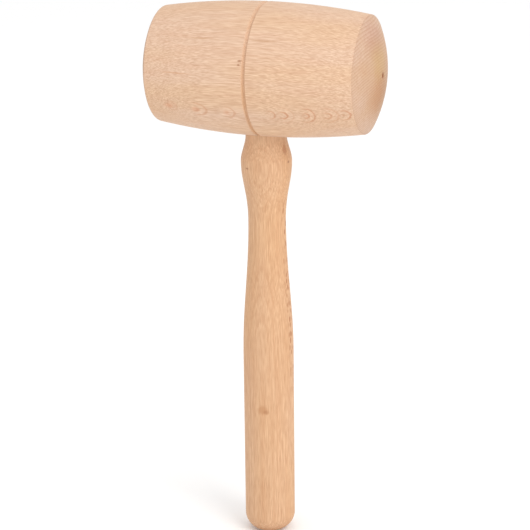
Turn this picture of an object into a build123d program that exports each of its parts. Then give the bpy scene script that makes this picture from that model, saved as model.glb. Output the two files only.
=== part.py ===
"""Round wooden mallet: a turned barrel head, and a turned handle glued into a blind bore in its belly.

Frame: the origin is the middle of the hand grip, on the handle's axis. +Z runs up the handle to the
head, and +X runs along the head's axis. All sizes are in millimetres.
"""

import os
from math import sqrt

from build123d import *

# Head: a barrel, widest at the middle, with a domed striking face at each end
head_diameter = 80.0
rim_diameter = 70.0  # where the side meets a striking face
side_length = 128.0  # from rim to rim
face_crown = 8.5  # how far a striking face domes out past its rim
rim_round = 1.2  # broken edge at the rim
groove_width = 2.7  # turned V groove round the middle
groove_depth = 1.2
groove_floor = 0.6  # flat left by the turning tool's nose
centre_mark_diameter = 2.6  # conical dimple that the lathe's centre leaves in each face
centre_mark_depth = 2.0

# Joint: a round tenon in a blind bore
tenon_diameter = 24.8
glue_thickness = 0.1  # film between the tenon and the wall of its bore
glue_pool = 1.0  # gap above the tenon's end, where spare glue gathers
bore_crown = 22.0  # wood left above the bore's blind end
glue_setback = 1.5  # how far inside the bore's mouth the glue film stops
tenon_chamfer = 1.5  # lead-in at the tenon's end
mouth_clearance = 0.3  # from the belly to where the tenon starts to swell

# Handle: a bulb under the head, a neck, then a straight grip with a rounded butt
handle_reach = 296.0  # from the butt's end to the head's axis
bulb_diameter = 31.0
bulb_drop = 16.0  # from the head's belly to the bulb's widest place
neck_diameter = 22.9
neck_drop = 53.0  # from the head's belly to the neck's narrowest place
grip_diameter = 31.2
grip_length = 108.0
butt_round = 11.0

# Shape of the handle's curves: how far each curve keeps its end's direction, as a share of its height
mouth_pull, bulb_top_pull = 0.33, 0.34
bulb_flank_pull, neck_top_pull = 0.35, 0.48
neck_foot_pull, grip_top_pull = 0.38, 0.35

# Places that follow from the sizes
head_radius, rim_radius = head_diameter / 2, rim_diameter / 2
side_half = side_length / 2
face_end = side_half + face_crown
tenon_radius = tenon_diameter / 2
bore_radius = tenon_radius + glue_thickness
groove_radius = head_radius - groove_depth
butt_end = -grip_length / 2 - butt_round
head_axis = butt_end + handle_reach
belly = head_axis - head_radius
bore_end = head_axis + head_radius - bore_crown
tenon_end = bore_end - glue_pool
bore_mouth = head_axis - sqrt(groove_radius**2 - bore_radius**2)  # its highest edge, in the groove
film_foot = bore_mouth + glue_setback


# The head's section is drawn round its own axis, then spun
head_plane = Plane(origin=(0, 0, head_axis), x_dir=(1, 0, 0), z_dir=(0, -1, 0))
mark_radius = centre_mark_diameter / 2
face_radius = (rim_radius**2 + face_crown**2) / (2 * face_crown)
mark_edge = face_end - face_radius + sqrt(face_radius**2 - mark_radius**2)
side_sag = head_radius - rim_radius
side_radius = (side_half**2 + side_sag**2) / (2 * side_sag)
half_groove, half_floor = groove_width / 2, groove_floor / 2
groove_edge = head_radius - side_radius + sqrt(side_radius**2 - half_groove**2)

with BuildPart() as head:
    with BuildSketch(head_plane):
        with BuildLine():
            for side in (-1, 1):
                mark_tip = (side * (face_end - centre_mark_depth), 0)
                mark_lip = (side * mark_edge, mark_radius)
                rim = (side * side_half, rim_radius)
                groove_lip = (side * half_groove, groove_edge)
                Polyline((0, 0), mark_tip, mark_lip)
                RadiusArc(mark_lip, rim, side * -face_radius)
                RadiusArc(rim, groove_lip, side * -side_radius)
                Polyline(groove_lip, (side * half_floor, groove_radius), (0, groove_radius))
        make_face()
        fillet(vertices().filter_by(lambda v: abs(abs(v.X) - side_half) < 1e-6), radius=rim_round)
    revolve(axis=Axis((0, 0, head_axis), (1, 0, 0)))
    with BuildSketch(Plane.XY.offset(belly)):
        Circle(bore_radius)
    extrude(amount=bore_end - belly, mode=Mode.SUBTRACT)

# The handle's section, from the tenon's end down to the butt's end
swell = belly - mouth_clearance
bulb, neck = belly - bulb_drop, belly - neck_drop
grip_top, grip_foot = grip_length / 2, -grip_length / 2
bulb_radius, neck_radius, grip_radius = bulb_diameter / 2, neck_diameter / 2, grip_diameter / 2
mouth_run, flank_run, foot_run = swell - bulb, bulb - neck, neck - grip_top

with BuildPart() as handle:
    with BuildSketch(Plane.XZ):
        with BuildLine():
            Polyline(
                (0, tenon_end),
                (tenon_radius - tenon_chamfer, tenon_end),
                (tenon_radius, tenon_end - tenon_chamfer),
                (tenon_radius, swell),
            )
            Bezier(
                (tenon_radius, swell),
                (tenon_radius, swell - mouth_pull * mouth_run),
                (bulb_radius, bulb + bulb_top_pull * mouth_run),
                (bulb_radius, bulb),
            )
            Bezier(
                (bulb_radius, bulb),
                (bulb_radius, bulb - bulb_flank_pull * flank_run),
                (neck_radius, neck + neck_top_pull * flank_run),
                (neck_radius, neck),
            )
            Bezier(
                (neck_radius, neck),
                (neck_radius, neck - neck_foot_pull * foot_run),
                (grip_radius, grip_top + grip_top_pull * foot_run),
                (grip_radius, grip_top),
            )
            Line((grip_radius, grip_top), (grip_radius, grip_foot))
            RadiusArc((grip_radius, grip_foot), (grip_radius - butt_round, butt_end), butt_round)
            Polyline((grip_radius - butt_round, butt_end), (0, butt_end), (0, tenon_end))
        make_face()
    revolve(axis=Axis.Z)

# The glue fills what the tenon leaves of its bore
with BuildPart() as glue_film:
    with BuildSketch(Plane.XY.offset(film_foot)):
        Circle(bore_radius)
    extrude(amount=bore_end - film_foot)
    add(handle.part, mode=Mode.SUBTRACT)

os.makedirs("parts", exist_ok=True)
for name, piece in (("head", head), ("handle", handle), ("glue_film", glue_film)):
    piece.part.label = name
    export_step(piece.part, f"parts/{name}.step")
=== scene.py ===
"""A turned beech mallet: its woods, a pale floor, soft light and the camera.

Everything is in metres in the part's own frame, but the wood's own space is in millimetres.
"""

from math import cos, radians, sin

import bpy
from mathutils import Matrix, Vector

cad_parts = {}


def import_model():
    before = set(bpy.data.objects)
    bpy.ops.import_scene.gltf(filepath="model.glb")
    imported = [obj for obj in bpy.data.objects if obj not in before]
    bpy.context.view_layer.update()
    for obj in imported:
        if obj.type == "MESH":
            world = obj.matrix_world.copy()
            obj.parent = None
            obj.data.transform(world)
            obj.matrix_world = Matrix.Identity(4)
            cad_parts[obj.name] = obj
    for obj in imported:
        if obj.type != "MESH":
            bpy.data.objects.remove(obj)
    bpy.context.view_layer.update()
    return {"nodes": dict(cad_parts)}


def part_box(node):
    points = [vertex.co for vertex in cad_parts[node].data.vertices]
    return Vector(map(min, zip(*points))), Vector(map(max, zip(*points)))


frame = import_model()

MM = 0.001
HEAD_LOW, HEAD_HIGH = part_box("head")
HANDLE_LOW, HANDLE_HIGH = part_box("handle")
HEAD_AXIS = HEAD_HIGH.z - (HEAD_HIGH.y - HEAD_LOW.y) / 2
FACE_END = HEAD_HIGH.x
GRAIN_RELIEF = 0.05 * MM  # depth of the bump that the fibres, rays and rings leave


# ---------------------------------------------------------------- fields: arithmetic on node sockets


class Field:
    """A number at every point of a surface: one socket of a material's node tree, with arithmetic."""

    def __init__(self, tree, socket):
        self.tree, self.socket = tree, socket

    def math(self, operation, *others):
        node = self.tree.nodes.new("ShaderNodeMath")
        node.operation = operation
        for value, socket in zip((self, *others), node.inputs):
            connect(value, socket)
        return Field(self.tree, node.outputs[0])

    def __add__(self, other):
        return self.math("ADD", other)

    def __sub__(self, other):
        return self.math("SUBTRACT", other)

    def __mul__(self, other):
        return self.math("MULTIPLY", other)

    def __truediv__(self, other):
        return self.math("DIVIDE", other)

    def __pow__(self, other):
        return self.math("POWER", other)

    def between(self, low, high):
        """0 at low, 1 at high, smooth and level beyond both; low may be the larger."""
        node = self.tree.nodes.new("ShaderNodeMapRange")
        node.interpolation_type = "SMOOTHSTEP"
        for value, name in ((self, "Value"), (low, "From Min"), (high, "From Max")):
            connect(value, node.inputs[name])
        return Field(self.tree, node.outputs["Result"])


def connect(value, socket):
    """Links a field to a socket, or sets the socket to a plain number or colour."""
    if isinstance(value, Field):
        value.tree.links.new(value.socket, socket)
    else:
        socket.default_value = value


def vector(x, y, z):
    """Three fields as one place."""
    node = x.tree.nodes.new("ShaderNodeCombineXYZ")
    for value, socket in zip((x, y, z), node.inputs):
        connect(value, socket)
    return Field(x.tree, node.outputs[0])


def noise(place, detail=2.0, roughness=0.5):
    """Smooth noise from about 0.2 to 0.8, with features one unit of place across."""
    node = place.tree.nodes.new("ShaderNodeTexNoise")
    connect(place, node.inputs["Vector"])
    connect(1.0, node.inputs["Scale"])
    connect(detail, node.inputs["Detail"])
    connect(roughness, node.inputs["Roughness"])
    return Field(place.tree, node.outputs[0])


def cells(place):
    """Distance to the nearest of points scattered one to a unit cell, and that point's own number."""
    node = place.tree.nodes.new("ShaderNodeTexVoronoi")
    connect(place, node.inputs["Vector"])
    connect(1.0, node.inputs["Scale"])
    split = place.tree.nodes.new("ShaderNodeSeparateColor")
    place.tree.links.new(node.outputs["Color"], split.inputs[0])
    return Field(place.tree, node.outputs["Distance"]), Field(place.tree, split.outputs[0])


def mix(a, b, share, blend="MIX"):
    """Colour a, changed towards colour b by share."""
    node = share.tree.nodes.new("ShaderNodeMix")
    node.data_type, node.blend_type = "RGBA", blend
    connect(share, node.inputs[0])
    connect(a, node.inputs[6])
    connect(b, node.inputs[7])
    return Field(share.tree, node.outputs[2])


def paint(red, green, blue):
    """An sRGB colour in 0 to 255 as the linear colour that Blender takes."""
    levels = (level / 255 for level in (red, green, blue))
    linear = [level / 12.92 if level <= 0.04045 else ((level + 0.055) / 1.055) ** 2.4 for level in levels]
    return (*linear, 1.0)


# ---------------------------------------------------------------- beech


class Wood:
    """Coordinates in one piece of wood, in millimetres, and what grows along them.

    along runs up the tree, radius out from the pith, and around is the arc round it. pith is where the
    pith's line passes the piece's middle, and lean turns the rays off square to the rings, in degrees.
    """

    def __init__(self, material, middle, grain, pith, warp, seed, lean=0.0):
        tree = self.tree = material.node_tree
        self.place = Field(tree, tree.nodes.new("ShaderNodeTexCoord").outputs["Object"])
        self.grain, self.seed = Vector(grain), seed
        centre, reach = Vector(middle), Vector(pith).length
        outward = -Vector(pith).normalized()
        self.along = self.component(self.grain, centre)
        out = self.component(outward, centre)
        side = self.component(self.grain.cross(outward), centre)
        out = out + self.drift(out, side, 0.0) * warp
        side = side + self.drift(out, side, 5.0) * warp
        depth = out + reach / MM
        self.radius = (depth * depth + side * side).math("SQRT")
        turned = depth * cos(radians(lean)) + side * sin(radians(lean))
        across = side * cos(radians(lean)) - depth * sin(radians(lean))
        self.around = across.math("ARCTAN2", turned) * (reach / MM)

    def component(self, direction, centre):
        """How far a point lies from the centre along a direction, in millimetres."""
        node = self.tree.nodes.new("ShaderNodeVectorMath")
        node.operation = "DOT_PRODUCT"
        connect(self.place, node.inputs[0])
        connect(tuple(direction), node.inputs[1])
        return (Field(self.tree, node.outputs["Value"]) - centre.dot(direction)) * (1 / MM)

    def drift(self, out, side, shift):
        """How the trunk's growth wanders from straight, from about -0.3 to 0.3."""
        return noise(vector(self.along / 60 + (self.seed + shift), out / 40, side / 40), 1.0) - 0.5

    def grown(self, along, radius, around, detail=2.0, roughness=0.5, shift=0.0):
        """Noise whose features measure along, radius and around in the tree."""
        place = vector(
            self.along / along + (self.seed + shift), self.radius / radius + shift, self.around / around
        )
        return noise(place, detail, roughness)

    def rays(self, tall, deep, thick, size, shift=0.0):
        """Medullary rays: 1 inside thin upright sheets that point at the pith, 0 between them."""
        sway = (self.grown(9.0, 40.0, 6.0, 1.0, shift=shift + 3) - 0.5) * (thick * 3)
        distance, number = cells(
            vector(
                self.along / tall + (self.seed + shift),
                self.radius / deep + shift,
                (self.around + sway) / thick,
            )
        )
        edge = number * size
        return distance.between(edge + size * 0.3, edge * 0.5)

    def away(self, place, size, ragged=0.5):
        """How far a point is from a place on the piece: 1 at size from it along X, Y and Z, in mm."""
        step, scaled, length = (self.tree.nodes.new("ShaderNodeVectorMath") for _ in range(3))
        step.operation, scaled.operation, length.operation = "SUBTRACT", "DIVIDE", "LENGTH"
        connect(self.place, step.inputs[0])
        connect(tuple(Vector(place) * MM), step.inputs[1])
        self.tree.links.new(step.outputs[0], scaled.inputs[0])
        connect(tuple(Vector(size) * MM), scaled.inputs[1])
        self.tree.links.new(scaled.outputs[0], length.inputs[0])
        edge = (self.grown(4.0, 1.6, 1.6, 2.0, shift=51) - 0.5) * ragged
        return Field(self.tree, length.outputs["Value"]) + edge

    def spot(self, place, size, core=0.35):
        """1 within core of a place on the piece, falling to 0 at size from it, with a ragged edge."""
        return self.away(place, size).between(1.0, core)

    def rings(self, spacing, wobble):
        """Growth rings: 0 in spring wood, rising to 1 at the dark line that ends each year's growth."""
        ripple = (self.grown(22.0, 40.0, 14.0, 2.0, shift=11) - 0.5) * wobble
        pace = (self.grown(300.0, 11.0, 80.0, 1.0, shift=5) - 0.5) * 1.2
        year = ((self.radius + ripple) / spacing + pace).math("FRACT")
        return (year ** 2.0) * year.between(1.0, 0.8)


def end_grain(wood, low, high):
    """How squarely the surface cuts across the grain: 0 below low, 1 above high, as the normal's share."""
    normal = wood.tree.nodes.new("ShaderNodeNewGeometry").outputs["Normal"]
    node = wood.tree.nodes.new("ShaderNodeVectorMath")
    node.operation = "DOT_PRODUCT"
    wood.tree.links.new(normal, node.inputs[0])
    connect(tuple(wood.grain), node.inputs[1])
    return Field(wood.tree, node.outputs["Value"]).math("ABSOLUTE").between(low, high)


def material(name):
    """A new material with Blender's usual shader."""
    made = bpy.data.materials.new(name)
    made.use_nodes = True
    return made


def finish_wood(made, colour, height, rough):
    """Puts the colour, the roughness and a bump of the height on the material's shader."""
    shader = made.node_tree.nodes["Principled BSDF"]
    bump = made.node_tree.nodes.new("ShaderNodeBump")
    bump.inputs["Strength"].default_value = 1.0
    bump.inputs["Distance"].default_value = GRAIN_RELIEF
    connect(height, bump.inputs["Height"])
    made.node_tree.links.new(bump.outputs["Normal"], shader.inputs["Normal"])
    connect(colour, shader.inputs["Base Color"])
    connect(rough, shader.inputs["Roughness"])
    shader.inputs["Specular IOR Level"].default_value = 0.4
    return made


def beech(name, wood_space, tones, ring_spacing, ring_wobble, ring_share, end_ring_share):
    """Beech before its marks: the material, the wood's coordinates, and its colour, height and roughness.

    Rings are spaced in millimetres and show by ring_share, and by end_ring_share more on end grain.
    """
    made = material(name)
    wood = Wood(made, *wood_space)
    # The groove's steep flanks, near the wood's middle, aren't end grain
    end = end_grain(wood, 0.3, 0.8) * wood.along.math("ABSOLUTE").between(2.0, 6.0)
    # Strokes that run along the grain fade where the surface cuts across it
    side = end_grain(wood, 0.85, 0.97) * -0.7 + 1.0
    fine = wood.rays(6.0, 14.0, 0.3, 0.42)
    bold = wood.rays(5.0, 7.0, 1.1, 0.34, shift=7)
    hair = wood.grown(9.0, 0.4, 0.18, 1.0, 0.6)
    fibre = wood.grown(45.0, 2.0, 0.34, 1.0, 0.6, shift=15)
    streak = wood.grown(80.0, 4.0, 2.6, 3.0, 0.55, shift=21)
    cloud = wood.grown(110.0, 22.0, 22.0, 2.0, 0.5, shift=33)
    ring = wood.rings(ring_spacing, ring_wobble)

    colour = mix(tones["pale"], tones["warm"], cloud.between(0.32, 0.68))
    colour = mix(colour, tones["streak"], streak.between(0.42, 0.75) * 0.3)
    colour = mix(colour, tones["ring"], ring * (end * end_ring_share + ring_share))
    colour = mix(colour, tones["ray"], fine * side * 0.15)
    colour = mix(colour, tones["fleck"], bold * side * 0.07)
    colour = mix(colour, tones["ray"], fibre.between(0.3, 0.75) * side * 0.2)
    colour = mix(colour, tones["ray"], hair.between(0.25, 0.75) * side * 0.57)
    colour = mix(colour, tones["end"], end, "MULTIPLY")
    height = hair * 0.5 - fine * 0.4 - ring * 0.3
    rough = fibre * 0.14 + 0.52
    return made, wood, colour, height, rough


# Each wood's middle, grain direction, pith from the middle, warp in millimetres, seed and lean in degrees
HEAD_SPACE = ((0, 0, HEAD_AXIS), (1, 0, 0), (0, 8.7 * MM, -95 * MM), 4.0, 4.0)
HANDLE_SPACE = ((0, 0, 0), (0, 0, 1), (-8 * MM, 130 * MM, 0), 1.6, 9.0, -8.0)

HEAD_TONES = {
    "pale": paint(230, 201, 176),
    "warm": paint(228, 195, 162),
    "streak": paint(220, 178, 148),
    "ring": paint(190, 138, 104),
    "ray": paint(172, 124, 92),
    "fleck": paint(190, 128, 92),
    "groove": paint(200, 152, 108),
    "end": paint(232, 230, 231),
}
HANDLE_TONES = {
    "pale": paint(226, 187, 150),
    "warm": paint(224, 182, 140),
    "streak": paint(212, 160, 120),
    "ring": paint(180, 122, 82),
    "ray": paint(166, 114, 76),
    "fleck": paint(166, 108, 66),
    "end": paint(240, 230, 222),
}

# Marks on the head lie from its middle, in millimetres; FACE is the near striking face's highest place
FACE = FACE_END / MM
KNOT_TONE, STREAK_TONE, BLUSH_TONE = paint(150, 96, 60), paint(176, 128, 88), paint(206, 140, 104)

# The near face's stains and one patch of painted shade, which darken what lies under them: tone, place,
# size and solid core
FACE_STAINS_AND_SHADE = (
    (paint(243, 236, 227), (FACE, 0, 0), (20, 36, 36), 0.65),
    (paint(250, 249, 224), (FACE, -3, 9.5), (15, 18, 18), 0.2),
    (paint(242, 224, 202), (FACE, -5, -11), (15, 19, 19), 0.15),
    # painted shade: darkens the near face towards its back edge, where it curves away from the light
    (paint(236, 229, 220), (FACE - 6, 12, -10), (16, 26, 26), 0.1),
    (paint(248, 240, 243), (FACE - 4, -5, 23), (14, 20, 15), 0.2),
)

# Small marks: tone, share, place, size and solid core
HEAD_MARKS = (
    (paint(140, 88, 54), 0.95, (FACE - 1, 0, 0), (3.5, 2.5, 2.9), 0.45),  # in the lathe's centre mark
    (KNOT_TONE, 0.7, (-2.3, -38.4, 11.7), (1.7, 3, 0.8), 0.35),  # a pin knot beside the groove
    (KNOT_TONE, 0.7, (-2.8, -38.8, 9.4), (1.2, 3, 0.7), 0.35),
    (STREAK_TONE, 0.4, (-29, -32.5, 22.6), (13, 3, 0.9), 0.1),  # thin streaks along the grain
    (STREAK_TONE, 0.45, (10, -32.6, 22.9), (11, 3, 1.0), 0.1),
    (paint(190, 132, 92), 0.45, (-45, -38.0, 2.4), (17, 3, 0.8), 0.1),
    (BLUSH_TONE, 0.42, (-49, -32, -18.5), (5, 5, 3.4), 0.0),  # reddish blushes in the row of arcs
    (BLUSH_TONE, 0.42, (-32, -33, -19.3), (4, 5, 3.4), 0.0),
    (BLUSH_TONE, 0.3, (-12, -34, -20), (4, 5, 3.4), 0.0),
)

# Where the rays lie flush with the turned side they show as a row of nested arcs: place, width and share
RAY_ARCS = (
    (-49, 9, 0.25),
    (-32, 10, 0.4),
    (-12, 8, 0.4),
    (15, 6, 0.55),
    (22, 8, 0.75),
    (36, 7, 0.75),
    (48, 9, 0.5),
    (58, 8, 0.6),
)

# Small marks and a patch of painted shadow on the handle, from the frame's origin: tone, share, place and
# size
DOT_TONE = paint(140, 90, 56)
HANDLE_MARKS_AND_SHADOW = (
    (paint(178, 124, 82), 0.5, (1.2, -15.4, 19.6), (4.4, 5, 4.2)),  # a small knot and its halo
    (paint(160, 106, 66), 0.5, (3.2, -15.1, 18.4), (2.4, 4, 2.2)),
    (DOT_TONE, 0.65, (-7.7, -13.4, 172.6), (1.6, 3, 0.8)),  # dots on the bulb
    (DOT_TONE, 0.65, (15.1, -3.2, 176), (1.5, 1.5, 1.0)),
    (paint(158, 96, 58), 0.45, (13.2, -4.4, 184), (2.2, 2.5, 5)),  # painted shadow on the handle just under the head
)
FLECK_AZIMUTH = radians(88)  # the handle's column of ray flecks, round it from straight in front


def head_beech():
    """The head's beech, darker in the groove, with its stains, painted shade at the near face's back edge,
    marks and row of arcs.
    """
    made, wood, colour, height, rough = beech(
        "head_beech",
        HEAD_SPACE,
        HEAD_TONES,
        ring_spacing=1.7,
        ring_wobble=1.0,
        ring_share=0.12,
        end_ring_share=0.5,
    )
    axis = HEAD_AXIS / MM
    low = wood.component(Vector((0, 0, -1)), Vector((0, 0, HEAD_AXIS)))
    groove = wood.along.math("ABSOLUTE").between(1.5, 0.6) * low.between(-50, 30)
    colour = mix(colour, HEAD_TONES["groove"], groove * 0.5)
    # the near face's stains, and its patch of painted shade at the back edge
    for tone, (x, y, z), size, core in FACE_STAINS_AND_SHADE:
        colour = mix(colour, tone, wood.spot((x, y, z + axis), size, core), "MULTIPLY")
    for tone, share, (x, y, z), size, core in HEAD_MARKS:
        colour = mix(colour, tone, wood.spot((x, y, z + axis), size, core) * share)
    for x, width, share in RAY_ARCS:
        swell = 1 - (x / 64) ** 2 / 8  # the barrel narrows by an eighth at its rims
        away = wood.away((x, -34.6 * swell, -20 * swell + axis), (width, 9, 6.0), 0.2)
        arcs = (away * 12.0 + x).math("SINE").between(0.2, 1.0) * away.between(1.0, 0.7)
        colour = mix(colour, HEAD_TONES["fleck"], arcs * (wood.along - x).between(-4, 3) * share)
    return finish_wood(made, colour, height, rough)


def handle_beech():
    """The handle's beech, with a column of ray flecks down one side, a few marks and a patch of painted
    shadow under the head.
    """
    made, wood, colour, height, rough = beech(
        "handle_beech",
        HANDLE_SPACE,
        HANDLE_TONES,
        ring_spacing=1.2,
        ring_wobble=0.4,
        ring_share=0.3,
        end_ring_share=0.15,
    )
    edge = wood.component(Vector((cos(FLECK_AZIMUTH), sin(FLECK_AZIMUTH), 0)), Vector((0, 0, 0)))
    front = wood.component(Vector((sin(FLECK_AZIMUTH), -cos(FLECK_AZIMUTH), 0)), Vector((0, 0, 0)))
    band = edge.math("ABSOLUTE").between(5.0, 1.5) * front.between(2, 6)
    band = band * wood.along.between(15, 60) * wood.along.between(156, 146)
    distance, number = cells(vector(wood.along / 4.6, edge / 1.9, front / 30))
    fleck = distance.between(0.55, 0.3) * number.between(0.2, 0.5)
    colour = mix(colour, HANDLE_TONES["fleck"], band * fleck * 0.9)
    # the handle's marks, and its patch of painted shadow under the head
    for tone, share, place, size in HANDLE_MARKS_AND_SHADOW:
        colour = mix(colour, tone, wood.spot(place, size) * share)
    return finish_wood(made, colour, height, rough)


def wood_glue():
    """Cured glue inside the joint: cloudy and yellowish, rippled by the turned walls round it."""
    made = material("wood_glue")
    joint = Wood(made, *HANDLE_SPACE)
    cloud = joint.grown(5.0, 3.0, 3.0, 2.0, 0.5, shift=41)
    ripple = joint.grown(0.7, 3.0, 6.0, 1.0, 0.5, shift=47)
    colour = mix(paint(232, 222, 192), paint(212, 192, 146), cloud.between(0.35, 0.65))
    return finish_wood(made, colour, ripple, cloud * 0.2 + 0.35)


def dress(node, made):
    """Gives a CAD node its material."""
    mesh = frame["nodes"][node].data
    mesh.materials.clear()
    mesh.materials.append(made)


dress("head", head_beech())
dress("handle", handle_beech())
dress("glue_film", wood_glue())


# ---------------------------------------------------------------- floor, light, camera


FLOOR_SIZE = 12.0


def floor():
    """A wide white floor under the butt."""
    made = material("floor_white")
    shader = made.node_tree.nodes["Principled BSDF"]
    shader.inputs["Base Color"].default_value = (0.95, 0.95, 0.95, 1.0)
    shader.inputs["Roughness"].default_value = 0.9
    shader.inputs["Specular IOR Level"].default_value = 0.1
    half = FLOOR_SIZE / 2
    corners = ((-half, -half), (half, -half), (half, half), (-half, half))
    mesh = bpy.data.meshes.new("floor")
    mesh.from_pydata([(x, y, HANDLE_LOW.z) for x, y in corners], [], [(0, 1, 2, 3)])
    mesh.materials.append(made)
    plane = bpy.data.objects.new("floor", mesh)
    bpy.context.scene.collection.objects.link(plane)


def world():
    """Even white light from all round."""
    scene_world = bpy.data.worlds.new("studio")
    bpy.context.scene.world = scene_world
    scene_world.use_nodes = True
    background = scene_world.node_tree.nodes["Background"]
    background.inputs["Color"].default_value = (1.0, 1.0, 1.0, 1.0)
    background.inputs["Strength"].default_value = 1.01


def softbox(name, place, target, size, watts, colour):
    """A square area light at a place, facing the target."""
    data = bpy.data.lights.new(name, "AREA")
    data.shape, data.size, data.energy, data.color = "SQUARE", size, watts, colour
    lamp = bpy.data.objects.new(name, data)
    lamp.location = place
    lamp.rotation_euler = (Vector(target) - Vector(place)).to_track_quat("-Z", "Y").to_euler()
    bpy.context.scene.collection.objects.link(lamp)


# Where the camera stands: round the handle's axis from straight in front, above the horizon, and its tip
CAMERA_AZIMUTH, CAMERA_ELEVATION, CAMERA_ROLL = radians(19.58), radians(16.97), radians(-0.67)
CAMERA_DISTANCE = 1.194
CAMERA_TARGET = Vector((-1.71 * MM, 0, HEAD_AXIS - 122.04 * MM))
CAMERA_LENS = 132.38


def camera():
    """The photo's viewpoint."""
    back = Vector(
        (
            sin(CAMERA_AZIMUTH) * cos(CAMERA_ELEVATION),
            -cos(CAMERA_AZIMUTH) * cos(CAMERA_ELEVATION),
            sin(CAMERA_ELEVATION),
        )
    )
    data = bpy.data.cameras.new("camera")
    data.lens, data.sensor_width = CAMERA_LENS, 36.0
    data.clip_start, data.clip_end = 0.05, 50.0
    right = Vector((cos(CAMERA_AZIMUTH), sin(CAMERA_AZIMUTH), 0))
    up = back.cross(right)
    tipped_right = right * cos(CAMERA_ROLL) + up * sin(CAMERA_ROLL)
    tipped_up = up * cos(CAMERA_ROLL) - right * sin(CAMERA_ROLL)
    turn = Matrix((tipped_right, tipped_up, back)).transposed()
    eye = bpy.data.objects.new("camera", data)
    eye.matrix_world = Matrix.Translation(CAMERA_TARGET + back * CAMERA_DISTANCE) @ turn.to_4x4()
    bpy.context.scene.collection.objects.link(eye)
    bpy.context.scene.camera = eye


floor()
world()
softbox("key", (1.6, -1.1, 1.5), (0, 0, 0.15), 1.2, 22, (1.0, 0.985, 0.96))
camera()
scene = bpy.context.scene
scene.view_settings.view_transform = "Standard"
scene.view_settings.look = "None"
